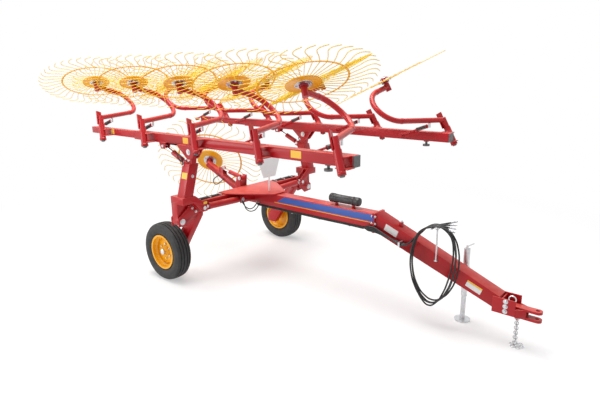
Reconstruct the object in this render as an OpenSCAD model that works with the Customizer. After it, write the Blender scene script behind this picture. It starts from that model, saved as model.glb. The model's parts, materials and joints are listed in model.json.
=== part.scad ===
// Carted wheel rake, folded for the road and parked on its jack.
// Lengths are millimetres, +X points to the hitch, +Y to the left, +Z up, the ground is z = 0.

/* [Road wheels] */
// Tyre outer diameter
tyre_d = 690; // [600:5:760]
// Tyre width
tyre_w = 200; // [160:5:240]
// Rim flange diameter
rim_d = 412; // [360:2:440]
// Distance between the tyre centres
track = 2000; // [1900:10:2300]
// Axle stub diameter
axle_d = 50; // [40:1:70]

/* [Frame] */
// Width of the frame box and of the drawbar
frame_w = 150; // [120:5:200]
// Height of the frame box
frame_h = 150; // [120:5:180]
// Height of the frame box's top face
frame_top = 975; // [900:5:1050]
// Front end of the frame box, ahead of the axle
frame_front = 2250; // [2000:10:2500]
// Rear end of the frame box, ahead of the axle
frame_rear = 300; // [250:5:330]
// Thickness of the gusset on top of the frame
gusset_t = 15; // [8:1:25]
// Thickness of the bolted flange at the drawbar's root
flange_t = 16; // [10:1:30]

/* [Hitch] */
// Hitch pin hole ahead of the axle
hitch_x = 3857; // [3700:10:4100]
// Height of the hitch pin hole's middle
hitch_z = 335; // [300:5:450]
// Hitch pin hole diameter
hitch_pin_d = 32; // [20:1:40]
// Clear height between the two hitch lugs
hitch_gap = 52; // [40:1:80]

/* [Side arms] */
// Thickness of the side arm tube, fore and aft
arm_w = 110; // [90:5:130]
// Height of the side arm tube
arm_h = 120; // [90:5:140]
// Middle of the side arm, ahead of the axle
arm_x = 385; // [370:5:400]
// Distance of the fold pin from the middle plane
fold_y = 1090; // [1080:5:1110]
// Height of the fold pin
fold_z = 800; // [780:5:815]
// Fold pin diameter
fold_pin_d = 44; // [30:1:50]
// Thickness of the knuckle plates
knuckle_t = 16; // [10:1:20]

/* [Posts] */
// Side of the square post tube
post_w = 120; // [100:5:130]
// Beam pivot pin, ahead of the axle
pivot_x = 520; // [500:5:540]
// Distance of the beam pivot from the middle plane
pivot_y = 950; // [940:5:960]
// Height of the beam pivot
pivot_z = 1565; // [1560:5:1570]
// Beam pivot pin diameter
pivot_pin_d = 40; // [30:1:46]

/* [Rake beams] */
// Side of the beam's main tube
beam_w = 100; // [90:2:110]
// Side of the beam's rear tube
beam_rear_w = 80; // [60:2:84]
// Front end of the beam, ahead of the axle
beam_front = 2590; // [2560:10:2700]
// Rear end of the beam, behind the axle
beam_rear = 1560; // [1500:10:1700]
// Distance between neighbouring rake arms
arm_pitch = 914; // [880:2:940]
// Rearmost rake arm, behind the axle
arm_first = 1203; // [1180:5:1230]

/* [Rake wheels] */
// Tip to tip diameter of a rake wheel
rake_d = 1400; // [1300:10:1410]
// Outer diameter of the wheel's ring
ring_d = 860; // [800:10:900]
// Tines on each rake wheel
tine_count = 40; // [30:1:44]
// Tine thickness
tine_t = 7; // [5:0.5:10]
// Rake arm tube diameter
swan_d = 57; // [45:1:65]
// Rake wheel axle diameter
spindle_d = 35; // [28:1:40]

/* [Jack] */
// Jack ahead of the axle
jack_x = 3145; // [3100:5:3200]
// Jack tube outer diameter
jack_d = 60; // [50:1:70]

/* [Hidden] */
$fn = 48;

paint = [0.78, 0.05, 0.07];
dark_paint = [0.45, 0.04, 0.08];
rake_yellow = [0.98, 0.80, 0.10];
zinc = [0.72, 0.72, 0.74];
black = [0.06, 0.06, 0.06];

// Clearances: a pin in its bore, faces of moving pieces, and faces that only stand beside each other
pin_fit = 0.1;
run_gap = 6;
seat_gap = 0.2;

// The model's origin lies on the ground midway between the hitch's tip and the rearmost tine
swan_lean = [-0.387, 0.211, 0.897];
swan_run = [-0.369, 0.928, 0.032];
rear_reach = arm_first + 581 + rake_d / 2 * sqrt(1 - pow(unit(swan_lean).x, 2));
hitch_tip = 40;
origin_x = (hitch_x + hitch_tip - rear_reach) / 2;

function unit(v) = v / norm(v);

// Rake arm: a straight run from the sleeve, a round bend and a straight end, in the plane of axes u and w
swan_run_l = 590;
swan_bend_r = 231;
swan_bend = 155.5;
swan_end_l = 223;
swan_twist = -32;
sleeve_y = 1010;
sleeve_z = 1845;
hub_gap = 74;
axis_n = unit(swan_lean);
axis_u = unit(swan_run);
bend_0 = unit(axis_n - (axis_n * axis_u) * axis_u);
axis_w = cos(swan_twist) * bend_0 + sin(swan_twist) * cross(axis_u, bend_0);
axis_v = cross(axis_w, axis_u);
swan_end = axis_u * (swan_run_l + swan_bend_r * sin(swan_bend) + swan_end_l * cos(swan_bend))
    + axis_w * (swan_bend_r * (1 - cos(swan_bend)) + swan_end_l * sin(swan_bend));
sleeve_d = 60;
sleeve_l = 185;
sleeve_drop = 85;
function sleeve_top(i) = [arm_pitch * i - arm_first, -sleeve_y, sleeve_z];
function hub_centre(i) = sleeve_top(i) + swan_end + hub_gap * axis_n;

// Beam height follows its pivot
pivot_to_beam = 55;
beam_z = pivot_z + pivot_to_beam + beam_w / 2;
beam_y = sleeve_y - 100;
beam_split = -560;

// Fold cylinder, in one upright plane ahead of the side arm
fold_cyl_x = arm_x + 124;
fold_base = [fold_cyl_x, -262, 905];
fold_eye = [fold_cyl_x, -850, 925];
fold_barrel_d = 76;
fold_barrel_l = 500;
fold_rod_d = 40;
cyl_pin_d = 30;
eye_d = 66;
eye_w = 40;
lever_gap = 52;

// Swing cylinder, under the beam behind its pivot
swing_base = [pivot_x - 134, -pivot_y, pivot_z - 130];
swing_eye = [pivot_x - 480, -pivot_y, pivot_z + 25];
swing_barrel_d = 60;
swing_barrel_l = 220;
swing_barrel_start = 48;
swing_stroke = 72;
swing_rod_d = 32;
swing_eye_w = 36;

// Kicker wheel at the rear, raised
kicker_pivot = [220, 0, 925];
kicker_base = [268, 0, 1090];
kicker_eye = [-100, 0, 1165];
kicker_end = [-370, 0, 1200];
kicker_n = unit([-0.5, 0.707, 0.5]);
kicker_barrel_d = 55;
kicker_barrel_l = 235;
kicker_rod_d = 28;

// Drawbar outline seen from the side
drawbar_root = frame_front + 2 * flange_t;
drawbar_front = hitch_x - 300;
drawbar_top = [frame_top + 12, hitch_z + 118];
drawbar_low = [frame_top - 184, hitch_z - 18];

// Jack beside the drawbar
jack_y = frame_w / 2 + 95;
jack_pivot_z = 560;
jack_tube_top = 740;
jack_tube_low = 260;
jack_leg_d = 48;
jack_foot_d = 150;
jack_pin_d = 32;
// Reach of the jack's pivot pin past its boss, ending in the jack tube's wall
jack_pin_reach = 12;

axle_z = tyre_d / 2;
leg_w = 80;
leg_y = track / 2 - tyre_w / 2 - 30;

// Hose loops hang on the right of the drawbar from the holder's hook; points in millimetres, axle frame
hose_d = 14;
hose_sides = 8;
// Columns: x, share of the sideways step of a turn, z
hose_route = [[2605, 0, 745], [2640, 0, 745], [2790, 0, 890], [2865, 0, 970], [2950, 0, 1005],
    [3040, 0.05, 985], [3120, 0.1, 915], [3170, 0.2, 800], [3185, 0.3, 660], [3170, 0.4, 510], [3125, 0.45, 370],
    [3055, 0.5, 265], [2960, 0.55, 215], [2865, 0.6, 260], [2790, 0.65, 370], [2745, 0.7, 520],
    [2740, 0.8, 670], [2770, 0.9, 820], [2840, 1, 950], [2950, 1, 1005], [3040, 1, 1030], [3110, 1, 1036]];
hose_clamp_y = -frame_w / 2 - 9;
hose_pitch = 16;
hose_turn = 64;
function hose_y(k, share) = hose_clamp_y - hose_d / 2 - hose_pitch * k - hose_turn * share;

// Shared shapes

// Children of the right side drawn on the left
module left_side() mirror([0, 1, 0]) children();

// A straight round bar from p to q
module bar(p, q, d) {
    v = q - p;
    translate(p) rotate([0, acos(v.z / norm(v)), atan2(v.y, v.x)]) cylinder(h = norm(v), d = d);
}

// Children drawn along Z placed at p with Z along the direction v
module along(p, v) translate(p) rotate([0, acos(v.z / norm(v)), atan2(v.y, v.x)]) children();

// A round pin across x, y or z, middle at p
module pin_x(p, d, l) translate(p) rotate([0, 90, 0]) cylinder(h = l, d = d, center = true);
module pin_y(p, d, l) translate(p) rotate([90, 0, 0]) cylinder(h = l, d = d, center = true);

// A plate seen from the front, thickness along x from x0
module plate_yz(x0, t, points) translate([x0, 0, 0]) rotate([90, 0, 90]) linear_extrude(t) polygon(points);

// A plate seen from the side, thickness along y from y0 towards +Y
module plate_xz(y0, t, points)
    translate([0, y0 + t, 0]) rotate([90, 0, 0]) linear_extrude(t) polygon(points);

// A tube swept along a route, for hoses that lie free
function ring_frame(route, i) = let (
    a = route[max(i - 1, 0)], b = route[min(i + 1, len(route) - 1)],
    t = unit(b - a), s = unit(cross(t, [0, 1, 0.05])))
    [s, cross(t, s)];
module swept_tube(route, d, sides) {
    rings = len(route);
    points = [for (i = [0:rings - 1]) let (f = ring_frame(route, i))
        for (k = [0:sides - 1]) route[i] + d / 2 * (cos(360 * k / sides) * f[0] + sin(360 * k / sides) * f[1])];
    walls = [for (i = [0:rings - 2]) for (k = [0:sides - 1]) let (m = (k + 1) % sides)
        [i * sides + k, i * sides + m, (i + 1) * sides + m, (i + 1) * sides + k]];
    first_cap = [[for (k = [0:sides - 1]) sides - 1 - k]];
    last_cap = [[for (k = [0:sides - 1]) (rings - 1) * sides + k]];
    polyhedron(points, concat(walls, first_cap, last_cap));
}

// Frame

module main_frame() color(paint) {
    lug_t = 12;
    lug_top = fold_base.z + 35;
    lug_low = fold_base.z - 45;
    translate([frame_rear, -frame_w / 2, frame_top - frame_h])
        cube([frame_front - frame_rear, frame_w, frame_h]);
    translate([frame_front, -frame_w / 2 - 25, frame_top - frame_h - 40])
        cube([flange_t, frame_w + 50, frame_h + 55]);
    for (side = [-1, 1]) {
        for (x = [fold_cyl_x - eye_w / 2 - 3 - lug_t, fold_cyl_x + eye_w / 2 + 3])
            translate([x, side < 0 ? fold_base.y - 40 : frame_w / 2, lug_low])
                cube([lug_t, -fold_base.y + 40 - frame_w / 2, lug_top - lug_low]);
        pin_x([fold_cyl_x, side * -fold_base.y, fold_base.z], cyl_pin_d, eye_w + 6 + 2 * lug_t + 16);
    }
}

module top_gusset() color(paint) {
    wide = 430;
    narrow = 95;
    rear = frame_rear;
    translate([0, 0, frame_top]) linear_extrude(gusset_t) polygon([
        [rear, -wide], [arm_x + arm_w / 2, -wide], [915, -narrow], [915, narrow],
        [arm_x + arm_w / 2, wide], [rear, wide]]);
}

module drawbar() color(paint) {
    rotate([90, 0, 0]) linear_extrude(frame_w, center = true) polygon([
        [drawbar_root, drawbar_low[0]], [drawbar_front, drawbar_low[1]],
        [drawbar_front, drawbar_top[1]], [drawbar_root, drawbar_top[0]]]);
    translate([drawbar_root - flange_t, -frame_w / 2 - 25, frame_top - frame_h - 40])
        cube([flange_t, frame_w + 50, frame_h + 55]);
    // Jack pivot: a welded boss and a stub on the left side
    jack_stub = jack_y - frame_w / 2 - jack_d / 2 - 8;
    translate([jack_x, frame_w / 2, jack_pivot_z]) rotate([-90, 0, 0]) cylinder(h = jack_stub, d = 70);
    translate([jack_x, frame_w / 2, jack_pivot_z]) rotate([-90, 0, 0])
        cylinder(h = jack_stub + jack_pin_reach, d = jack_pin_d);
}

module hitch_clevis() color(paint) {
    lug_t = 24;
    lug_w = 80;
    cheek_t = 12;
    neck = drawbar_front + 6;
    difference() {
        union() {
            for (z = [hitch_z + hitch_gap / 2, hitch_z - hitch_gap / 2 - lug_t]) translate([0, 0, z]) {
                translate([neck + 40, -lug_w / 2, 0]) cube([hitch_x - neck - 40, lug_w, lug_t]);
                translate([hitch_x, 0, 0]) cylinder(h = lug_t, d = 2 * hitch_tip);
            }
            translate([neck, -lug_w / 2, hitch_z - hitch_gap / 2 - lug_t])
                cube([140, lug_w, hitch_gap + 2 * lug_t]);
        }
        translate([hitch_x, 0, hitch_z - 100]) cylinder(h = 200, d = hitch_pin_d);
    }
    for (side = [-1, 1]) translate([drawbar_front - 60, side * frame_w / 2 + (side < 0 ? -cheek_t : 0), hitch_z - 30])
        cube([200, cheek_t, 145]);
    translate([neck, -frame_w / 2, hitch_z - 30]) cube([14, frame_w, 130]);
}

// Side arms with their knuckle plates and fold pin

module side_arm() {
    low = frame_top - arm_h;
    end_y = -930;
    front = arm_x + arm_w / 2;
    rear = arm_x - arm_w / 2;
    plate_in = -leg_y - run_gap;
    outline = [[plate_in, frame_top - 20], [plate_in, low], [-fold_y + 80, fold_z - 62],
        [-fold_y - 50, fold_z - 50], [-fold_y - 50, fold_z + 42], [-fold_y + 90, frame_top - 20]];
    translate([rear, end_y, low]) cube([arm_w, -end_y - frame_w / 2, arm_h]);
    plate_yz(front, knuckle_t, outline);
    plate_yz(rear - knuckle_t, knuckle_t, outline);
    pin_x([arm_x, -fold_y, fold_z], fold_pin_d, arm_w + 2 * knuckle_t + 20);
}
module side_arm_right() color(paint) side_arm();
module side_arm_left() color(paint) left_side() side_arm();

module wheel_leg() {
    top = frame_top - arm_h;
    rear = arm_x - arm_w / 2;
    foot = 65;
    plate_xz(-leg_y, leg_w, [[rear, top], [rear + arm_w, top], [rear + arm_w, top - 40],
        [foot, axle_z - foot], [-foot, axle_z - foot], [-foot, axle_z + foot * 0.6]]);
    translate([0, -leg_y + 5, axle_z]) rotate([90, 0, 0]) cylinder(h = track / 2 - leg_y + 65, d = axle_d);
}
module wheel_leg_right() color(paint) wheel_leg();
module wheel_leg_left() color(paint) left_side() wheel_leg();

// Wheels

module rim() {
    hub_d = 130;
    well_d = rim_d - 70;
    seat_d = rim_d - 32;
    half = tyre_w / 2 - 15;
    translate([0, -track / 2, axle_z]) rotate([90, 0, 0]) rotate_extrude($fn = 64) {
        polygon([[well_d / 2 - 6, -30], [seat_d / 2 - 6, -60], [seat_d / 2 - 6, -half], [rim_d / 2, -half],
            [rim_d / 2, -half + 7], [seat_d / 2, -half + 12], [seat_d / 2, -55], [well_d / 2, -25],
            [well_d / 2, 25], [seat_d / 2, 45], [seat_d / 2, half - 12], [rim_d / 2, half - 7], [rim_d / 2, half],
            [seat_d / 2 - 6, half], [seat_d / 2 - 6, 50], [well_d / 2 - 6, 30]]);
        polygon([[hub_d / 2 - 10, 0], [well_d / 2 - 3, 0], [well_d / 2 - 3, 10], [hub_d / 2 - 10, 28]]);
        polygon([[(axle_d + pin_fit) / 2, -45], [hub_d / 2, -45], [hub_d / 2, 35], [40, 60],
            [(axle_d + pin_fit) / 2, 60]]);
    }
}
module tyre() {
    seat_d = rim_d - 32;
    half = tyre_w / 2;
    bead = 0.72 * half;
    wall = (tyre_d - rim_d) / 2;
    // Columns: radius, half width, from the bead over the shoulder to the middle of the tread
    section = [[seat_d / 2 + 0.3, bead], [rim_d / 2 + 0.06 * wall, bead + 2], [rim_d / 2 + 0.29 * wall, 0.97 * half],
        [tyre_d / 2 - 0.50 * wall, half], [tyre_d / 2 - 0.18 * wall, 0.86 * half], [tyre_d / 2 - 0.05 * wall, 0.62 * half],
        [tyre_d / 2, 0.3 * half]];
    last = len(section) - 1;
    translate([0, -track / 2, axle_z]) rotate([90, 0, 0]) rotate_extrude($fn = 64) polygon(concat(
        [for (p = section) [p.x, -p.y]], [for (i = [last:-1:0]) section[i]]));
}
module rim_right() color(rake_yellow) rim();
module tyre_right() color(black) tyre();
module rim_left() color(rake_yellow) left_side() rim();
module tyre_left() color(black) left_side() tyre();

// Posts

module post() {
    inner_w = arm_w - 2 * run_gap;
    crown_low = frame_top + 30;
    crown_top = crown_low + 80;
    lever_t = 14;
    lever_low = fold_eye.z - 42;
    head_w = 62;
    post_top = pivot_z - 130;
    difference() {
        union() {
            // Knuckle between the side arm's plates
            plate_yz(arm_x - inner_w / 2, inner_w, [[-fold_y - 45, crown_low + 20], [-985, crown_low + 20],
                [-fold_y + 45, fold_z - 20], [-fold_y - 45, fold_z - 20]]);
            pin_x([arm_x, -fold_y, fold_z], 100, inner_w);
        }
        pin_x([arm_x, -fold_y, fold_z], fold_pin_d + pin_fit, 400);
    }
    // Crown that carries the lever over the knuckle plates
    translate([arm_x - arm_w / 2, -fold_y - 45, crown_low])
        cube([fold_cyl_x + lever_gap / 2 + lever_t - arm_x + arm_w / 2, fold_y + 45 - 970, crown_top - crown_low]);
    for (x = [fold_cyl_x - lever_gap / 2 - lever_t, fold_cyl_x + lever_gap / 2])
        plate_yz(x, lever_t, [[-fold_y - 45, crown_low], [-990, crown_low], [fold_eye.y - 25, lever_low],
            [fold_eye.y + 40, lever_low], [fold_eye.y + 40, fold_eye.z + 35], [-970, crown_top],
            [-fold_y - 45, crown_top]]);
    // Heads of the rod's pin, outside the lever plates
    pin_head = 6;
    for (x = [fold_cyl_x - lever_gap / 2 - lever_t - pin_head, fold_cyl_x + lever_gap / 2 + lever_t])
        translate([x, fold_eye.y, fold_eye.z]) rotate([0, 90, 0]) cylinder(h = pin_head, d = 46);
    // Leaning tube
    hull() {
        translate([pivot_x - 100, -fold_y - 20, crown_top]) cube([post_w, post_w, 1]);
        translate([pivot_x - 100, -pivot_y - post_w / 2, post_top - 1]) cube([post_w, post_w, 1]);
    }
    // Head with the beam's pivot bore and the swing cylinder's ears
    difference() {
        union() {
            plate_xz(-pivot_y - head_w / 2, head_w, [[pivot_x - 80, post_top], [pivot_x + 20, post_top],
                [pivot_x + 44, pivot_z], [pivot_x - 44, pivot_z]]);
            pin_y([pivot_x, -pivot_y, pivot_z], 90, head_w);
        }
        pin_y([pivot_x, -pivot_y, pivot_z], pivot_pin_d + pin_fit, 400);
    }
    ear_t = 12;
    for (y = [-pivot_y - swing_eye_w / 2 - 3 - ear_t, -pivot_y + swing_eye_w / 2 + 3])
        plate_xz(y, ear_t, [[swing_base.x - 25, swing_base.z - 25], [pivot_x - 70, post_top - 60],
            [pivot_x - 70, post_top], [pivot_x - 85, swing_base.z + 28], [swing_base.x - 25, swing_base.z + 25]]);
    pin_y(swing_base, cyl_pin_d, swing_eye_w + 6 + 2 * ear_t);
}
module post_right() color(paint) post();
module post_left() color(paint) left_side() post();

// Cylinders: the barrel turns on its base pin, the rod ends beside its own pin

module barrel(base, eye, d, l, rod_d, start) {
    v = unit(eye - base);
    difference() {
        union() {
            along(base, v) translate([0, 0, start]) cylinder(h = l - start, d = d);
            along(base, v) translate([0, 0, 22]) cylinder(h = start - 10, d = rod_d - 6);
            children();
        }
        along(base, v) translate([0, 0, start + 20]) cylinder(h = l, d = rod_d + 2 * pin_fit);
    }
}
module fold_barrel() difference() {
    barrel(fold_base, fold_eye, fold_barrel_d, fold_barrel_l, fold_rod_d, 58)
        pin_x(fold_base, eye_d, eye_w);
    pin_x(fold_base, cyl_pin_d + pin_fit, 200);
}
module fold_rod() {
    v = unit(fold_eye - fold_base);
    bar(fold_base + v * 80, fold_eye - v * (eye_d / 2 - 10), fold_rod_d);
    difference() {
        pin_x(fold_eye, eye_d, eye_w);
        pin_x(fold_eye, cyl_pin_d + 2, 200);
    }
}
module swing_barrel() difference() {
    barrel(swing_base, swing_eye, swing_barrel_d, swing_barrel_l, swing_rod_d, swing_barrel_start)
        pin_y(swing_base, eye_d - 10, swing_eye_w);
    pin_y(swing_base, cyl_pin_d + pin_fit, 200);
}
module swing_rod() {
    v = unit(swing_eye - swing_base);
    rod_in = swing_barrel_start + 20 + swing_stroke + run_gap;
    bar(swing_base + v * rod_in, swing_eye - v * 20, swing_rod_d);
    difference() {
        pin_y(swing_eye, 56, swing_eye_w);
        pin_y(swing_eye, cyl_pin_d + 2, 200);
    }
}
module fold_barrel_right() color(paint) fold_barrel();
module fold_barrel_left() color(paint) left_side() fold_barrel();
module fold_rod_right() color(zinc) fold_rod();
module fold_rod_left() color(zinc) left_side() fold_rod();
module swing_barrel_right() color(paint) swing_barrel();
module swing_barrel_left() color(paint) left_side() swing_barrel();
module swing_rod_right() color(zinc) swing_rod();
module swing_rod_left() color(zinc) left_side() swing_rod();

// Beams

module beam() {
    cheek_t = 14;
    cheek_in = 62 / 2 + run_gap;
    cheek_l = 190;
    cheek_r = 80;
    low = beam_z - beam_w / 2;
    outer = -beam_y - beam_w / 2;
    translate([beam_split, -beam_y - beam_w / 2, low]) cube([beam_front - beam_split, beam_w, beam_w]);
    translate([-beam_rear, -beam_y - beam_rear_w / 2, beam_z - beam_rear_w / 2])
        cube([beam_split + beam_rear + 1, beam_rear_w, beam_rear_w]);
    // Cheeks and pin of the beam's pivot
    for (y = [-pivot_y - cheek_in - cheek_t, -pivot_y + cheek_in])
        union() {
            plate_xz(y, cheek_t, [[pivot_x - cheek_l, low + 2], [pivot_x - cheek_r * 0.7, pivot_z - cheek_r * 0.7],
                [pivot_x + cheek_r * 0.7, pivot_z - cheek_r * 0.7], [pivot_x + 0.8 * cheek_l, low + 2]]);
            pin_y([pivot_x, y + cheek_t / 2, pivot_z], 2 * cheek_r, cheek_t);
        }
    translate([pivot_x - cheek_l, -pivot_y - cheek_in - cheek_t, low])
        cube([1.8 * cheek_l, pivot_y - beam_y + 60, 12]);
    pin_y([pivot_x, -pivot_y, pivot_z], pivot_pin_d, 2 * (cheek_in + cheek_t) + 24);
    // Ears of the swing cylinder's rod
    ear_t = 12;
    for (y = [-pivot_y - swing_eye_w / 2 - 6 - ear_t, -pivot_y + swing_eye_w / 2 + 6])
        plate_xz(y, ear_t, [[swing_eye.x - 60, low + 4], [swing_eye.x - 35, swing_eye.z - 30],
            [swing_eye.x + 35, swing_eye.z - 30], [swing_eye.x + 60, low + 4]]);
    translate([swing_eye.x - 60, -pivot_y - swing_eye_w / 2 - 6 - ear_t, low])
        cube([120, pivot_y - beam_y + swing_eye_w / 2 + ear_t, 12]);
    for (i = [0:4]) sleeve_bracket(i, outer);
}

// Sleeve that carries a rake arm's spindle, on two shelves at the beam's outer side
module sleeve_bracket(i, outer) {
    top = sleeve_top(i);
    face = i == 0 ? -beam_y - beam_rear_w / 2 : outer;
    size = i == 0 ? beam_rear_w : beam_w;
    shelf_t = 10;
    difference() {
        union() {
            along(top - axis_n * (sleeve_drop + sleeve_l), axis_n) cylinder(h = sleeve_l, d = sleeve_d + 12);
            for (z = [beam_z - size / 2, beam_z + size / 2 - shelf_t]) {
                s = (z - top.z) / axis_n.z;
                c = top + s * axis_n;
                translate([c.x - 62, c.y, z]) cube([124, face - c.y + 1, shelf_t]);
            }
        }
        along(top - axis_n * 400, axis_n) cylinder(h = 500, d = spindle_d + 10 + pin_fit);
    }
}
// Caps on the beam's ends and the rubber foot on which the neighbouring wing rests
module beam_trim() {
    low = beam_z - beam_w / 2;
    cap_t = 10;
    foot_x = beam_front - 280;
    foot_h = 62;
    inset = 2;
    front_w = beam_w - 2 * inset;
    rear_w = beam_rear_w - 2 * inset;
    translate([beam_front, -beam_y - front_w / 2, beam_z - front_w / 2]) cube([cap_t, front_w, front_w]);
    translate([-beam_rear - cap_t, -beam_y - rear_w / 2, beam_z - rear_w / 2]) cube([cap_t, rear_w, rear_w]);
    translate([foot_x, -beam_y, low - foot_h]) cylinder(h = foot_h, d = 26);
    translate([foot_x, -beam_y, low - foot_h]) cylinder(h = 20, d = 76);
    translate([foot_x, -beam_y, low - 12]) cylinder(h = 12, d = 60);
}
module beam_trim_right() color(black) beam_trim();
module beam_trim_left() color(black) left_side() beam_trim();
module beam_right() color(paint) beam();
module beam_left() color(paint) left_side() beam();

// Rake arms: spindle in its sleeve, head tube, swan neck and wheel axle

module swan(i) {
    top = sleeve_top(i);
    end = top + swan_end;
    along(top - axis_n * (sleeve_drop - seat_gap), axis_n) cylinder(h = sleeve_drop + 25, d = sleeve_d);
    along(top - axis_n * (sleeve_drop + sleeve_l + 40), axis_n) cylinder(h = sleeve_l + 50, d = spindle_d + 10);
    along(top - axis_n * (sleeve_drop + sleeve_l + 28), axis_n)
        cylinder(h = 28 - seat_gap, d = spindle_d + 34, $fn = 6);
    multmatrix([[axis_u.x, axis_v.x, axis_w.x, top.x], [axis_u.y, axis_v.y, axis_w.y, top.y],
        [axis_u.z, axis_v.z, axis_w.z, top.z], [0, 0, 0, 1]]) {
        rotate([0, 90, 0]) cylinder(h = swan_run_l, d = swan_d);
        translate([swan_run_l, 0, swan_bend_r]) rotate([90, 0, 0]) rotate([0, 0, -90])
            rotate_extrude(angle = swan_bend) translate([swan_bend_r, 0]) circle(d = swan_d);
        translate([swan_run_l, 0, swan_bend_r]) rotate([0, -swan_bend, 0]) translate([0, 0, -swan_bend_r])
            rotate([0, 90, 0]) {
                cylinder(h = swan_end_l, d = swan_d);
                translate([0, 0, -5]) cylinder(h = 22, d = swan_d + 5);
            }
        rotate([0, 90, 0]) translate([0, 0, swan_run_l - 17]) cylinder(h = 22, d = swan_d + 5);
    }
    // Upright plate at the arm's root, in line with the arm
    root_u = unit(axis_u - (axis_u * axis_n) * axis_n);
    root_v = cross(axis_n, root_u);
    multmatrix([[root_u.x, root_v.x, axis_n.x, top.x], [root_u.y, root_v.y, axis_n.y, top.y],
        [root_u.z, root_v.z, axis_n.z, top.z], [0, 0, 0, 1]])
        translate([-36, sleeve_d / 2 - 8, -sleeve_drop + seat_gap]) cube([72, 14, sleeve_drop + 90]);
    along(end - axis_n * 50, axis_n) cylinder(h = 50 + hub_gap - 32, d = 62);
    along(end, axis_n) cylinder(h = hub_gap + 45, d = spindle_d);
}
module rake_arms_right() color(paint) for (i = [0:4]) swan(i);
module rake_arms_left() color(paint) left_side() for (i = [0:4]) swan(i);

// Spring rods between each arm and the beam's inner side
module arm_spring(i) {
    top = sleeve_top(i);
    inner = -beam_y + (i == 0 ? beam_rear_w : beam_w) / 2;
    low = [top.x - 420, inner + 30, beam_z];
    high = top + axis_u * 205 - [0, 0, swan_d / 2 + 28];
    bar(low, high, 24);
    v = unit(high - low);
    bar(high - v * 130, high - v * 30, 46);
    translate([low.x, inner, low.z]) rotate([-90, 0, 0]) cylinder(h = 52, d = 44);
    translate(high - [0, 0, 22]) cylinder(h = 49.2, d = 30);
}
module arm_springs_right() color(dark_paint) for (i = [0:4]) arm_spring(i);
module arm_springs_left() color(dark_paint) left_side() for (i = [0:4]) arm_spring(i);

// Rake wheel about Z with its middle at the origin
ring_w = 38;
ring_t = 5;
disc_d = 330;
function polar(r, a) = [r * cos(a), r * sin(a)];
module tine() {
    // Columns: distance inside the tip circle, angle of sweep
    bends = [[175, -5.6], [90, -9.2], [35, -7.6], [0, -2.5]];
    line = concat([polar(disc_d / 3, 0), polar(ring_d / 2 - 6, 0)], [for (b = bends) polar(rake_d / 2 - b[0], b[1])]);
    last = len(line) - 1;
    normals = [for (i = [0:last]) let (t = unit(line[min(i + 1, last)] - line[max(i - 1, 0)])) [-t.y, t.x]];
    linear_extrude(tine_t, center = true) polygon(concat(
        [for (i = [0:last]) line[i] + normals[i] * tine_t / 2],
        [for (i = [last:-1:0]) line[i] - normals[i] * tine_t / 2]));
}
module rake_wheel() {
    difference() {
        union() {
            cylinder(h = 10, d = disc_d, center = true);
            translate([0, 0, -30]) cylinder(h = 60, d = 90);
            for (k = [0:tine_count - 1]) rotate(360 * k / tine_count) tine();
            rotate_extrude($fn = 96) translate([ring_d / 2 - ring_w, -ring_t]) square([ring_w, 2 * ring_t]);
        }
        cylinder(h = 200, d = spindle_d + pin_fit, center = true);
    }
}
module rake_wheel_at(i) along(hub_centre(i), axis_n) rake_wheel();
module rake_wheel_right(i) color(rake_yellow) rake_wheel_at(i);
module rake_wheel_left(i) color(rake_yellow) left_side() rake_wheel_at(i);

// Kicker wheel, its arm and cylinder

module kicker_mount() color(paint) {
    plate_t = 12;
    half = 36 + run_gap;
    for (y = [-half - plate_t, half]) plate_xz(y, plate_t, [[frame_rear, frame_top - frame_h],
        [kicker_pivot.x - 45, kicker_pivot.z - 55], [kicker_pivot.x - 45, kicker_pivot.z + 30],
        [kicker_base.x - 40, kicker_base.z + 35], [kicker_base.x + 30, kicker_base.z + 35],
        [frame_rear - 16, frame_top], [frame_rear, frame_top]]);
    for (p = [kicker_pivot, kicker_base]) pin_y(p, cyl_pin_d, 2 * half + 2 * plate_t + 16);
}
module kicker_arm() color(paint) {
    v = unit(kicker_end - kicker_pivot);
    up = [-v.z, 0, v.x] * -1;
    w = 72;
    difference() {
        union() {
            pin_y(kicker_pivot, 66, w);
            plate_xz(-w / 2, w, [[kicker_pivot.x, kicker_pivot.z - 33], [kicker_end.x, kicker_end.z - 40],
                [kicker_end.x, kicker_end.z + 35], [kicker_pivot.x, kicker_pivot.z + 33]]);
        }
        pin_y(kicker_pivot, cyl_pin_d + pin_fit, 200);
    }
    for (y = [-w / 2, w / 2 - 12]) plate_xz(y, 12, [[kicker_eye.x - 40, kicker_eye.z - 40],
        [kicker_eye.x - 25, kicker_eye.z + 25], [kicker_eye.x + 25, kicker_eye.z + 25],
        [kicker_eye.x + 50, kicker_eye.z - 100]]);
    along(kicker_end, kicker_n) translate([0, 0, -40]) cylinder(h = 40 + hub_gap - 32, d = 62);
    along(kicker_end, kicker_n) cylinder(h = hub_gap + 45, d = spindle_d);
}
module kicker_barrel() color(paint) difference() {
    barrel(kicker_base, kicker_eye, kicker_barrel_d, kicker_barrel_l, kicker_rod_d, 36)
        pin_y(kicker_base, eye_d - 10, 70);
    pin_y(kicker_base, cyl_pin_d + pin_fit, 200);
}
module kicker_rod() color(zinc) {
    v = unit(kicker_eye - kicker_base);
    bar(kicker_base + v * 90, kicker_eye - v * 18, kicker_rod_d);
    difference() {
        pin_y(kicker_eye, 50, 36);
        pin_y(kicker_eye, cyl_pin_d + 2, 200);
    }
}
module kicker_wheel() color(rake_yellow)
    along(kicker_end + kicker_n * hub_gap, kicker_n) mirror([0, 1, 0]) rake_wheel();

// Fittings

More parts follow.
